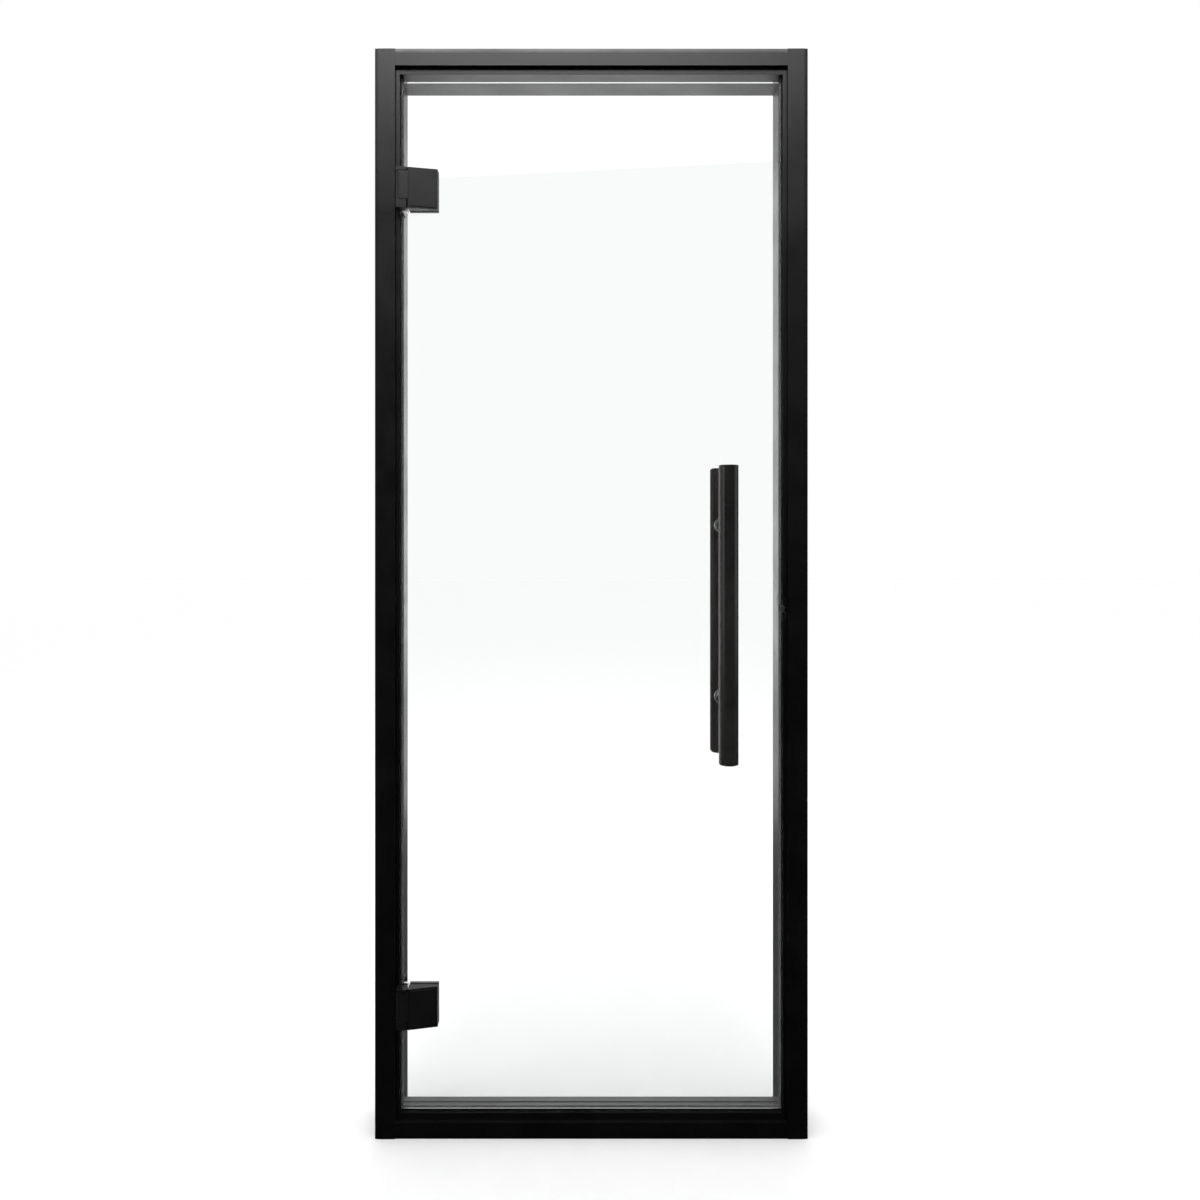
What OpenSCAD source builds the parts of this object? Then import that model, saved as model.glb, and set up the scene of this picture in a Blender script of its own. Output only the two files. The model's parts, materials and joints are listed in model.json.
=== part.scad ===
// Framed glass door: a clear pane on two clamp hinges in a black metal frame, with a
// pull bar on each side and a sprung roller catch on the latch jamb.
// X runs to the latch side, Y to the back and Z up, in millimetres. The origin is the
// middle of the frame's underside, halfway through its depth.
// Places in the depth are given from the frame's front face, and turned into Y by fy().

/* [Frame] */
// Width over the frame
frame_w = 790; // [600:5:1000]
// Height over the frame
frame_h = 1990; // [1600:10:2400]
// Depth of the jambs and the head
frame_d = 100; // [80:1:130]
// Depth of the sill
sill_d = 62; // [60:1:78]
// Width of every frame profile, seen from the front
profile_w = 44; // [40:0.5:60]
// Wall of the frame profiles
wall = 2; // [1.6:0.1:2.6]
// Depth of the front lip
lip_d = 8; // [7:0.5:9]
// Width of the front lip on the jambs
jamb_lip_w = 36.5; // [32:0.5:37]
// Width of the front lip on the head and the sill
rail_lip_w = 31; // [26:0.5:36]
// Width of the shallow bevel round the front edge
bevel_w = 8; // [4:0.5:10]
// Depth of that bevel
bevel_d = 1.2; // [0.6:0.1:1.6]
// Depth of the drain channel in the sill
channel_d = 1.2; // [0.8:0.1:1.6]

/* [Fixings] */
// Height of the lowest wall fixing
fixing_low = 150; // [100:10:170]
// Distance of the highest wall fixing below the frame's top
fixing_down = 180; // [120:10:200]
// Wall fixings on each jamb
fixing_count = 3; // [2:1:5]
// Diameter of the wall bolt's hole
fixing_hole_d = 8.5; // [6.5:0.5:10.5]
// Diameter of the hole that the bolt's head goes in through
fixing_access_d = 16; // [14:0.5:18]
// Diameter of the corner screws
corner_screw_d = 4.9; // [3.9:0.1:5.5]
// How far a corner screw reaches into its rail
corner_screw_grip = 28; // [20:1:50]

/* [Glass] */
// Thickness of the pane
glass_t = 8; // [6:0.5:10]
// Distance of the pane's front face behind the frame's front
glass_v = 12; // [11:0.5:13]
// Gap between the pane and each jamb
side_gap = 2.5; // [2:0.1:3]
// Gap between the pane and the sill
bottom_gap = 5; // [4:0.5:8]
// Gap between the pane and the head
top_gap = 12; // [8:0.5:20]
// How far the jambs' stop seals stand out
seal_h = 6; // [4.5:0.5:8]
// How far the sill's stop seal stands up
sill_seal_h = 8; // [6:0.5:9]
// Width of a stop seal
seal_w = 7; // [5:0.5:8]

/* [Hinges] */
// Height of a hinge
hinge_h = 74; // [66:1:90]
// Distance of the upper hinge's middle below the pane's top
hinge_down = 200; // [150:5:300]
// Distance of the lower hinge's middle above the pane's bottom
hinge_up = 191; // [150:5:300]
// Width of the clamp plates
clamp_w = 53; // [45:1:65]
// Thickness of the front clamp at the knuckle
clamp_thick = 20; // [18:0.5:22]
// Thickness of the front clamp at its free end
clamp_thin = 7; // [6:0.5:9]
// Thickness of the back clamp
back_clamp_t = 8; // [7:0.5:10]
// Thickness of each gasket
gasket_t = 1; // [0.5:0.1:1.5]
// Diameter of the hinge pin
pin_d = 7; // [6:0.5:8]
// Height of the bracket's lower ear
lower_ear_h = 15; // [12:0.5:18]
// Height of the bracket's upper ear
upper_ear_h = 6; // [5:0.5:10]
// Diameter of the clamp screws
clamp_screw_d = 6; // [5:0.5:8]
// Diameter of the bracket screws
bracket_screw_d = 5; // [4:0.5:6]

/* [Handles] */
// Length of the pull bars
bar_h = 535; // [420:5:800]
// Height of the pull bars' middle
bar_z = 960; // [850:5:1100]
// Distance of the pull bars from the pane's latch edge
bar_inset = 104; // [70:1:140]
// Diameter of the outer bar
outer_bar_d = 35; // [30:0.5:38]
// Wall of the outer bar's tube
outer_bar_wall = 2; // [1.5:0.1:3]
// Diameter of the inner bar
inner_bar_d = 37; // [32:0.5:40]
// Distance from the pane to a bar's middle
bar_reach = 49; // [45:1:60]
// Distance between the posts of a bar
post_pitch = 320; // [240:5:400]
// Diameter of the posts
post_d = 16; // [14:0.5:20]
// Diameter of the studs
stud_d = 8; // [6:0.5:10]

/* [Catch] */
// Height of the catch's middle
catch_z = 966; // [900:1:1100]
// Height of the catch's mounting flange
catch_h = 36; // [34:1:44]
// Diameter of the roller
roller_d = 8; // [7:0.5:8]
// Length of the roller
roller_h = 11; // [9:0.5:12]
// Travel of the fork that carries the roller
catch_travel = 3; // [2:0.5:3]

/* [Hidden] */
$fn = 64;

// Clearances
eps = 1;              // how far a cut runs past a face
fit = 0.05;           // radial, a screw, stud or bush in its hole
gap = 0.3;            // between two bodies
run_gap = 0.1;        // between a bush's flange and its ear
pocket_gap = 0.1;     // round the catch housing in its pocket

// Colours
metal_black = "#26282a";
rubber_black = "#17181a";
steel = "#b9bcbf";
glass_tint = [0.80, 0.90, 0.90, 0.35];
wood_dark = "#2f2723";
nylon = "#3a3b3c";

// Places that more than one piece uses
function fy(v) = v - frame_d / 2;
jamb_in = frame_w / 2 - profile_w;
lip_in = frame_w / 2 - jamb_lip_w;
glass_x = jamb_in - side_gap;
glass_z0 = profile_w + bottom_gap;
glass_z1 = frame_h - profile_w - top_gap;
glass_y0 = fy(glass_v);
glass_y1 = fy(glass_v + glass_t);
opening_z1 = frame_h - profile_w;

// Frame profile
jamb_webs = [35, 68];
port_v = [20, 52];
port_u = profile_w / 2;
port_wall = 2.5;
port_r = corner_screw_d / 2 + fit;
channel_v = [33.7, 46.9];
screw_head_ratio = 1.9;   // head diameter over shank diameter
screw_head_rise = 0.6;    // head height over shank diameter
socket_ratio = 0.5;       // socket radius over shank diameter
socket_floor = 0.4;       // share of the head left under its socket
corner_access_ratio = 1.15;
head_web = 76;            // the head's last web, from its front

// Fixings
fixing_v = 52;
fixing_step = (frame_h - fixing_down - fixing_low) / (fixing_count - 1);
fixing_zs = [for (i = [0 : fixing_count - 1]) fixing_low + i * fixing_step];
cap_flange = 2.5;
cap_t = 1.2;
cap_stem = 4;

// Seals
seal_foot = 1.6;
seal_nose = 2;

// Hinges
upper_hinge_z = glass_z1 - hinge_down;
lower_hinge_z = glass_z0 + hinge_up;
pivot_out = 0.5;      // how far the pivot lies outside the pane's edge
pivot_ahead = 14;     // how far it lies in front of the pane
pivot_x = -glass_x - pivot_out;
pivot_y = glass_y0 - pivot_ahead;
pin_r = pin_d / 2;
pin_head = 1.5;
pin_head_over = 1.5;  // how far its head stands out past the pin
pin_seat = 2;         // how much of the lower ear stays under the pin
bush_wall = 1.5;
bush_r = pin_r + fit + bush_wall;
bush_flange = 1;
bush_h = 12;
bush_flange_in = 1;   // how far its flange stays inside the knuckle
knuckle_wall = 2.95;
knuckle_r = bush_r + fit + knuckle_wall;
ear_r = 14.8;
ear_reach = 6.5;      // how far an ear reaches towards the jamb
ear_left = pivot_x - ear_reach;
arm_in = 2;           // how far the clamp's arm stays inside its knuckle
clamp_x0 = pivot_x + ear_r + gap;
clamp_x1 = clamp_x0 + clamp_w;
clamp_y = glass_y0 - gasket_t;
clamp_border = 3.5;
clamp_step = 1.2;
bracket_t = 4;
bracket_back_v = 56;
bracket_back = fy(bracket_back_v);
bracket_front = pivot_y + knuckle_r + 2 * gap;
bracket_screw_v = 46;
bracket_screw_y = fy(bracket_screw_v);
bracket_screw_dz = 22;
bracket_screw_len = 14;
clamp_screw_x = (clamp_x0 + clamp_x1) / 2;
clamp_screw_dz = 20;
clamp_screw_hole = 14;
clamp_screw_tip = 9;
notch_gap = 2;
clamp_screw_recess = 0.4;
bracket_screw_recess = 0.2;

// Handles
bar_x = glass_x - bar_inset;
outer_bar_y = glass_y0 - bar_reach;
inner_bar_y = glass_y1 + bar_reach;
post_zs = [bar_z - post_pitch / 2, bar_z + post_pitch / 2];
washer_t = 1;
washer_d = 26;
stud_hole_r = 8;
nut_d = 14;
nut_t = 6;
insert_len = 14;
insert_wall = 1.6;
insert_sink = 1.2;
collar_h = 3.5;
collar_d = 28;
cap_lip = 6;
end_cap_t = 3;
cap_bevel = 1;
grip_bevel = 3;
stud_start = 4;       // the stud's front end, behind the outer bar's middle
grip_face = inner_bar_y - inner_bar_d / 2;

// Catch
roller_r = roller_d / 2;
roller_y = glass_y0 - gap - roller_r;
axle_r = 1.4;
fork_ear = 2;
fork_half = roller_h / 2 + gap + fork_ear;
catch_face_t = 1;
catch_end_wall = 3.2;     // above and below the fork
catch_body_h = 2 * (fork_half + catch_end_wall);
catch_back_in = 0.6;      // how far it stays in front of the pane's back
catch_back = glass_y1 - catch_back_in;
catch_len = 27;
fork_x0 = 6;
fork_x1 = 12.5;
catch_cavity_end = 23.5;
catch_wall = 2.6;
catch_screw_dz = 14.6;
catch_screw_r = 1.4;
catch_screw_len = 8;
catch_screw_head_r = 2.5;
catch_screw_head_h = 0.6;
roller_bevel = 0.5;
spring_r = 2.2;
spring_wire = 0.35;
spring_turns = 5;
spring_y = (fy(lip_d) + catch_face_t + catch_back - catch_wall) / 2;

// ---- Shared shapes ----

// A round bar or bore along X, from x0 to x1
module rod_x(r, x0, x1, y, z)
    translate([x0, y, z]) rotate([0, 90, 0]) cylinder(r = r, h = x1 - x0);

// A round bar or bore along Y, from y0 to y1
module rod_y(r, y0, y1, x, z)
    translate([x, y0, z]) rotate([-90, 0, 0]) cylinder(r = r, h = y1 - y0);

// A hexagon socket along Y, from y0 to y1
module socket_y(r, y0, y1, x, z)
    translate([x, y0, z]) rotate([-90, 0, 0]) cylinder(r = r, h = y1 - y0, $fn = 6);

// A hexagon socket along X, from x0 to x1
module socket_x(r, x0, x1, y, z)
    translate([x0, y, z]) rotate([0, 90, 0]) cylinder(r = r, h = x1 - x0, $fn = 6);

// A block between two corners
module block(from, to)
    translate(from) cube([to[0] - from[0], to[1] - from[1], to[2] - from[2]]);

// Its children at the hinge side and mirrored at the latch side
module both_sides() {
    children();
    mirror([1, 0, 0]) children();
}

// ---- Frame ----

// Outline of a profile: x from its outer face inwards, y from the front
module profile_outline(lip_w, depth)
    polygon([[0, bevel_d], [bevel_w, 0], [lip_w, 0], [lip_w, lip_d],
             [profile_w, lip_d], [profile_w, depth], [0, depth]]);

// Hollows of a profile between its walls and its webs, with inner_wall on the inner side
module profile_chambers(lip_w, depth, webs, inner_wall) {
    ends = concat(webs, [depth - wall / 2]);
    polygon([[wall, wall + bevel_d], [lip_w - wall, wall + bevel_d],
             [lip_w - wall, lip_d + wall], [profile_w - inner_wall, lip_d + wall],
             [profile_w - inner_wall, webs[0] - wall / 2], [wall, webs[0] - wall / 2]]);
    for (i = [0 : len(webs) - 1])
        translate([wall, webs[i] + wall / 2])
            square([profile_w - wall - inner_wall, ends[i + 1] - webs[i] - wall]);
}

module jamb_section()
    difference() {
        profile_outline(jamb_lip_w, frame_d);
        profile_chambers(jamb_lip_w, frame_d, jamb_webs, wall);
    }

// Section of the head or the sill, with a screw port on each of its first two webs
module rail_section(depth, webs, inner_wall)
    difference() {
        profile_outline(rail_lip_w, depth);
        difference() {
            profile_chambers(rail_lip_w, depth, webs, inner_wall);
            for (v = port_v) translate([port_u, v]) circle(r = port_r + port_wall);
        }
        for (v = port_v) translate([port_u, v]) circle(r = port_r);
    }

// Section of the lip where it reaches past the body to the jamb's lip
module rail_lip_section()
    difference() {
        polygon([[0, bevel_d], [bevel_w, 0], [rail_lip_w, 0], [rail_lip_w, lip_d], [0, lip_d]]);
        translate([wall, wall + bevel_d])
            square([rail_lip_w - 2 * wall, lip_d - 2 * wall - bevel_d]);
    }

// A rail lying along X, its outer face at z = 0 and its body below
module rail(depth, webs, inner_wall) {
    translate([-jamb_in, fy(0), 0]) rotate([0, 90, 0])
        linear_extrude(2 * jamb_in) rail_section(depth, webs, inner_wall);
    both_sides()
        translate([-lip_in, fy(0), 0]) rotate([0, 90, 0])
            linear_extrude(lip_in - jamb_in) rail_lip_section();
}

// Holes in a jamb for the corner screws, with the access holes in its outer wall
module corner_holes()
    for (z = [port_u, frame_h - port_u], v = port_v) {
        rod_x(port_r + 2 * fit, -jamb_in - wall - eps, -jamb_in + eps, fy(v), z);
        rod_x(corner_screw_d * corner_access_ratio, -frame_w / 2 - eps, -frame_w / 2 + wall + eps, fy(v), z);
    }

module fixing_holes()
    for (z = fixing_zs) {
        rod_x(fixing_hole_d / 2, -frame_w / 2 - eps, -frame_w / 2 + wall + eps, fy(fixing_v), z);
        rod_x(fixing_access_d / 2, -jamb_in - wall - eps, -jamb_in + eps, fy(fixing_v), z);
    }

// A drilled jamb on the hinge side
module jamb_blank()
    difference() {
        translate([-frame_w / 2, fy(0), 0]) linear_extrude(frame_h) jamb_section();
        corner_holes();
        fixing_holes();
    }

module jamb_hinge_side()
    color(metal_black) difference() {
        jamb_blank();
        for (z = [upper_hinge_z, lower_hinge_z], dz = [-1, 1] * bracket_screw_dz)
            rod_x(bracket_screw_d / 2 + fit, -jamb_in - wall - eps, -jamb_in + eps,
                  bracket_screw_y, z + dz);
    }

module jamb_latch_side()
    color(metal_black) difference() {
        mirror([1, 0, 0]) jamb_blank();
        block([jamb_in - eps, fy(lip_d), catch_z - catch_body_h / 2 - pocket_gap],
              [jamb_in + catch_len + pocket_gap, catch_back + pocket_gap,
               catch_z + catch_body_h / 2 + pocket_gap]);
        for (dz = [-1, 1] * catch_screw_dz)
            rod_x(catch_screw_r + fit, jamb_in - eps, jamb_in + wall + eps,
                  spring_y, catch_z + dz);
    }

module head_rail()
    color(metal_black) translate([0, 0, frame_h]) rail(frame_d, concat(port_v, [head_web]), wall);

module sill()
    color(metal_black) difference() {
        mirror([0, 0, 1]) rail(sill_d, port_v, wall + channel_d);
        block([-jamb_in - eps, fy(channel_v[0]), profile_w - channel_d],
              [jamb_in + eps, fy(channel_v[1]), profile_w + eps]);
    }

module corner_screws()
    color(steel) both_sides()
        for (z = [port_u, frame_h - port_u], v = port_v) {
            head_x = -jamb_in - wall;
            head_h = corner_screw_d * screw_head_rise;
            difference() {
                union() {
                    rod_x(corner_screw_d * screw_head_ratio / 2, head_x - head_h, head_x, fy(v), z);
                    rod_x(corner_screw_d / 2, head_x - fit, -jamb_in + corner_screw_grip, fy(v), z);
                }
                socket_x(corner_screw_d * socket_ratio, head_x - head_h - eps,
                         head_x - head_h * socket_floor, fy(v), z);
            }
        }

module fixing_caps()
    color(rubber_black) both_sides() for (z = fixing_zs) {
        rod_x(fixing_access_d / 2 + cap_flange, -jamb_in, -jamb_in + cap_t, fy(fixing_v), z);
        rod_x(fixing_access_d / 2 - fit, -jamb_in - cap_stem, -jamb_in + fit, fy(fixing_v), z);
    }

// ---- Stop seals ----

// Section of a seal: a foot with a round-nosed fin, standing out along x by height
module seal_section(height) {
    square([seal_foot, seal_w]);
    square([height - seal_nose, 2 * seal_nose]);
    translate([height - seal_nose, seal_nose]) circle(r = seal_nose);
}

// A jamb's seal on the hinge side, between two heights
module jamb_seal(z0, z1)
    translate([-jamb_in, glass_y1 + gap, z0]) linear_extrude(z1 - z0) seal_section(seal_h);

module stop_seal_hinge_side() {
    half = hinge_h / 2 + notch_gap;
    color(rubber_black) {
        jamb_seal(profile_w, lower_hinge_z - half);
        jamb_seal(lower_hinge_z + half, upper_hinge_z - half);
        jamb_seal(upper_hinge_z + half, opening_z1);
    }
}

module stop_seal_latch_side()
    color(rubber_black) mirror([1, 0, 0]) jamb_seal(profile_w, opening_z1);

module stop_seal_sill()
    color(rubber_black)
        translate([-jamb_in + seal_h, glass_y1 + gap, profile_w]) mirror([0, 0, 1])
            rotate([0, 90, 0]) linear_extrude(2 * (jamb_in - seal_h)) seal_section(sill_seal_h);

// ---- Glass ----

module glass_pane()
    color(glass_tint) difference() {
        block([-glass_x, glass_y0, glass_z0], [glass_x, glass_y1, glass_z1]);
        for (z = [upper_hinge_z, lower_hinge_z]) {
            half = hinge_h / 2 + notch_gap;
            block([-glass_x - eps, glass_y0 - eps, z - half],
                  [clamp_x0 - notch_gap, glass_y1 + eps, z + half]);
            for (dz = [-1, 1] * clamp_screw_dz)
                rod_y(clamp_screw_hole / 2, glass_y0 - eps, glass_y1 + eps, clamp_screw_x, z + dz);
        }
        for (z = post_zs) rod_y(stud_hole_r, glass_y0 - eps, glass_y1 + eps, bar_x, z);
    }

// ---- Hinges, each about its middle height ----

// An ear of the bracket, rounded about the pin so that the clamp passes it
module ear(z0, z1)
    intersection() {
        translate([pivot_x, pivot_y, z0]) cylinder(r = ear_r, h = z1 - z0);
        union() {
            block([ear_left, pivot_y - knuckle_r, z0], [clamp_x0, fy(lip_d) - gap, z1]);
            block([-jamb_in, fy(lip_d) - 2 * gap, z0], [clamp_x0, glass_y0 - gasket_t, z1]);
        }
    }

module hinge_bracket(z) {
    z0 = z - hinge_h / 2;
    z1 = z + hinge_h / 2;
    color(metal_black) difference() {
        union() {
            block([-jamb_in, bracket_front, z0], [-jamb_in + bracket_t, bracket_back, z1]);
            ear(z0, z0 + lower_ear_h);
            ear(z1 - upper_ear_h, z1);
        }
        translate([pivot_x, pivot_y, z0 + pin_seat]) cylinder(r = pin_r + fit / 2, h = hinge_h);
        for (dz = [-1, 1] * bracket_screw_dz) {
            rod_x(bracket_screw_d / 2 + fit, -jamb_in - eps, -jamb_in + bracket_t + eps,
                  bracket_screw_y, z + dz);
            rod_x(bracket_screw_d * screw_head_ratio / 2 + 2 * fit, -jamb_in + bracket_t / 2,
                  -jamb_in + bracket_t + eps, bracket_screw_y, z + dz);
        }
    }
}

module hinge_pin(z)
    color(metal_black) {
        translate([pivot_x, pivot_y, z - hinge_h / 2 + pin_seat])
            cylinder(r = pin_r, h = hinge_h - pin_seat);
        translate([pivot_x, pivot_y, z + hinge_h / 2])
            cylinder(r = pin_r + pin_head_over, h = pin_head);
    }

// Height range of the knuckle, clear of both bush flanges
function knuckle_z0(z) = z - hinge_h / 2 + lower_ear_h + run_gap + bush_flange;
function knuckle_z1(z) = z + hinge_h / 2 - upper_ear_h - run_gap - bush_flange;

// A flanged bush, its flange's outer face at z = 0 and its sleeve going up
module bush()
    difference() {
        union() {
            cylinder(r = bush_r, h = bush_h);
            cylinder(r = knuckle_r - bush_flange_in, h = bush_flange);
        }
        translate([0, 0, -eps]) cylinder(r = pin_r + fit, h = bush_h + 2 * eps);
    }

module hinge_bushes(z)
    color(nylon) {
        translate([pivot_x, pivot_y, knuckle_z0(z) - bush_flange]) bush();
        translate([pivot_x, pivot_y, knuckle_z1(z) + bush_flange]) mirror([0, 0, 1]) bush();
    }

// Outline of the front clamp from above: thick at the knuckle, thin at its free end
module wedge_outline(inset, rise) {
    slope = (clamp_thick - clamp_thin) / clamp_w;
    x0 = clamp_x0 + inset;
    x1 = clamp_x1 - inset;
    polygon([[x0, clamp_y], [x1, clamp_y],
             [x1, clamp_y - clamp_thin - slope * inset - rise],
             [x0, clamp_y - clamp_thick + slope * inset - rise]]);
}

module front_clamp(z)
    color(metal_black) difference() {
        union() {
            translate([0, 0, z - hinge_h / 2]) linear_extrude(hinge_h) wedge_outline(0, 0);
            translate([0, 0, z - hinge_h / 2 + clamp_border])
                linear_extrude(hinge_h - 2 * clamp_border) wedge_outline(clamp_border, clamp_step);
            translate([pivot_x, pivot_y, knuckle_z0(z)])
                cylinder(r = knuckle_r, h = knuckle_z1(z) - knuckle_z0(z));
            block([pivot_x, pivot_y - knuckle_r, knuckle_z0(z)],
                  [clamp_x0 + eps, pivot_y + knuckle_r - arm_in, knuckle_z1(z)]);
        }
        translate([pivot_x, pivot_y, z - hinge_h]) cylinder(r = bush_r + fit, h = 2 * hinge_h);
        for (dz = [-1, 1] * clamp_screw_dz)
            rod_y(clamp_screw_d / 2 + fit, clamp_y - clamp_screw_tip - eps, clamp_y + eps,
                  clamp_screw_x, z + dz);
    }

module back_clamp(z) {
    y0 = glass_y1 + gasket_t;
    y1 = y0 + back_clamp_t;
    color(metal_black) difference() {
        union() {
            block([clamp_x0, y0, z - hinge_h / 2], [clamp_x1, y1 - clamp_step, z + hinge_h / 2]);
            block([clamp_x0 + clamp_border, y0, z - hinge_h / 2 + clamp_border],
                  [clamp_x1 - clamp_border, y1, z + hinge_h / 2 - clamp_border]);
        }
        for (dz = [-1, 1] * clamp_screw_dz) {
            rod_y(clamp_screw_d / 2 + fit, y0 - eps, y1 + eps, clamp_screw_x, z + dz);
            rod_y(clamp_screw_d * screw_head_ratio / 2 + 2 * fit, y1 - back_clamp_t / 2,
                  y1 + eps, clamp_screw_x, z + dz);
        }
    }
}

// The gasket on each face of the pane, and the sleeves in the pane's holes
module hinge_gaskets(z)
    color(rubber_black) {
        for (y = [clamp_y, glass_y1]) difference() {
            block([clamp_x0, y, z - hinge_h / 2], [clamp_x1, y + gasket_t, z + hinge_h / 2]);
            for (dz = [-1, 1] * clamp_screw_dz)
                rod_y(clamp_screw_hole / 2, y - eps, y + gasket_t + eps, clamp_screw_x, z + dz);
        }
        for (dz = [-1, 1] * clamp_screw_dz) difference() {
            rod_y(clamp_screw_hole / 2 - fit, clamp_y, glass_y1 + gasket_t, clamp_screw_x, z + dz);
            rod_y(clamp_screw_d / 2 + fit, clamp_y - eps, glass_y1 + 2 * gasket_t + eps,
                  clamp_screw_x, z + dz);
        }
    }

module clamp_screws(z) {
    seat = glass_y1 + gasket_t + back_clamp_t / 2;
    head_h = back_clamp_t / 2 - clamp_screw_recess;
    color(steel) for (dz = [-1, 1] * clamp_screw_dz) difference() {
        union() {
            rod_y(clamp_screw_d / 2, clamp_y - clamp_screw_tip, seat + fit, clamp_screw_x, z + dz);
            rod_y(clamp_screw_d * screw_head_ratio / 2, seat, seat + head_h, clamp_screw_x, z + dz);
        }
        socket_y(clamp_screw_d * socket_ratio, seat + head_h * socket_floor, seat + head_h + eps,
                 clamp_screw_x, z + dz);
    }
}

module bracket_screws(z) {
    seat = -jamb_in + bracket_t / 2;
    head_h = bracket_t / 2 - bracket_screw_recess;
    color(steel) for (dz = [-1, 1] * bracket_screw_dz) difference() {
        union() {
            rod_x(bracket_screw_d / 2, seat - bracket_screw_len, seat + fit, bracket_screw_y, z + dz);
            rod_x(bracket_screw_d * screw_head_ratio / 2, seat, seat + head_h,
                  bracket_screw_y, z + dz);
        }
        socket_x(bracket_screw_d * socket_ratio, seat + head_h * socket_floor, seat + head_h + eps,
                 bracket_screw_y, z + dz);
    }
}

// ---- Handles ----

// A ring along Y, from y0 to y1
module ring_y(r, bore, y0, y1, z)
    difference() {
        rod_y(r, y0, y1, bar_x, z);
        rod_y(bore, y0 - eps, y1 + eps, bar_x, z);
    }

module outer_handle_tube()
    color(metal_black) difference() {
        translate([bar_x, outer_bar_y, bar_z - bar_h / 2 + end_cap_t])
            cylinder(d = outer_bar_d, h = bar_h - 2 * end_cap_t);
        translate([bar_x, outer_bar_y, bar_z - bar_h / 2 - eps])
            cylinder(r = outer_bar_d / 2 - outer_bar_wall, h = bar_h + 2 * eps);
        for (z = post_zs)
            rod_y(stud_d / 2 + fit, outer_bar_y, outer_bar_y + outer_bar_d, bar_x, z);
    }

// A cap that closes the tube's lower end, turned over for the upper one
module end_cap() {
    rotate_extrude() polygon([[0, 0], [outer_bar_d / 2 - cap_bevel, 0],
        [outer_bar_d / 2, cap_bevel],
        [outer_bar_d / 2, end_cap_t], [outer_bar_d / 2 - outer_bar_wall - fit, end_cap_t],
        [outer_bar_d / 2 - outer_bar_wall - fit, end_cap_t + cap_lip], [0, end_cap_t + cap_lip]]);
}

module outer_handle_end_caps()
    color(metal_black) {
        translate([bar_x, outer_bar_y, bar_z - bar_h / 2]) end_cap();
        translate([bar_x, outer_bar_y, bar_z + bar_h / 2]) mirror([0, 0, 1]) end_cap();
    }

// A post from the outer washer to the tube, with a saddle that fits the tube
module outer_post(z)
    color(metal_black) difference() {
        rod_y(post_d / 2, outer_bar_y, glass_y0 - washer_t, bar_x, z);
        translate([bar_x, outer_bar_y, z - post_d]) cylinder(r = outer_bar_d / 2 + fit, h = 2 * post_d);
        rod_y(stud_d / 2 + fit, outer_bar_y - eps, glass_y0 + eps, bar_x, z);
    }

// A post from the inner washer to the grip, with a saddle that fits the grip
module inner_post(z)
    color(steel) difference() {
        rod_y(post_d / 2, glass_y1 + washer_t, inner_bar_y, bar_x, z);
        translate([bar_x, inner_bar_y, z - post_d]) cylinder(r = inner_bar_d / 2 + fit, h = 2 * post_d);
        rod_y(stud_d / 2 + fit, glass_y1 - eps, inner_bar_y + eps, bar_x, z);
    }

// Nuts inside the outer tube, resting on its wall by their rims
module outer_handle_nuts() {
    tube_r = outer_bar_d / 2 - outer_bar_wall;
    seat = outer_bar_y + sqrt(tube_r * tube_r - nut_d * nut_d / 4) - fit;
    color(steel) for (z = post_zs) ring_y(nut_d / 2, stud_d / 2 + fit, seat - nut_t, seat, z);
}

module inner_handle_grip() {
    color(wood_dark) difference() {
        translate([bar_x, inner_bar_y, bar_z - bar_h / 2]) rotate_extrude()
            polygon([[0, 0], [inner_bar_d / 2 - grip_bevel, 0], [inner_bar_d / 2, grip_bevel],
                     [inner_bar_d / 2, bar_h - grip_bevel],
                     [inner_bar_d / 2 - grip_bevel, bar_h],
                     [0, bar_h]]);
        for (z = post_zs)
            rod_y(stud_d / 2 + insert_wall + 2 * fit, grip_face - eps,
                  grip_face + insert_len + 2 * gap, bar_x, z);
    }
}

module inner_handle_inserts()
    color(steel) for (z = post_zs)
        ring_y(stud_d / 2 + insert_wall + fit, stud_d / 2 + fit, grip_face + insert_sink,
               grip_face + insert_len, z);

module inner_handle_collars()
    color(steel) for (z = post_zs)
        ring_y(collar_d / 2, post_d / 2 + fit, grip_face - gap - collar_h, grip_face - gap, z);

module handle_studs()
    color(steel) for (z = post_zs)
        rod_y(stud_d / 2, outer_bar_y + stud_start, grip_face + insert_len, bar_x, z);

module handle_washers()
    color(nylon) for (z = post_zs) {
        ring_y(washer_d / 2, stud_d / 2 + fit, glass_y0 - washer_t, glass_y0, z);
        ring_y(washer_d / 2, stud_d / 2 + fit, glass_y1, glass_y1 + washer_t, z);
    }

module handle_sleeves()
    color(nylon) for (z = post_zs)
        ring_y(stud_hole_r - fit, stud_d / 2 + fit, glass_y0, glass_y1, z);

// ---- Roller catch, its places along X counted from the latch jamb's inner face ----

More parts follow.
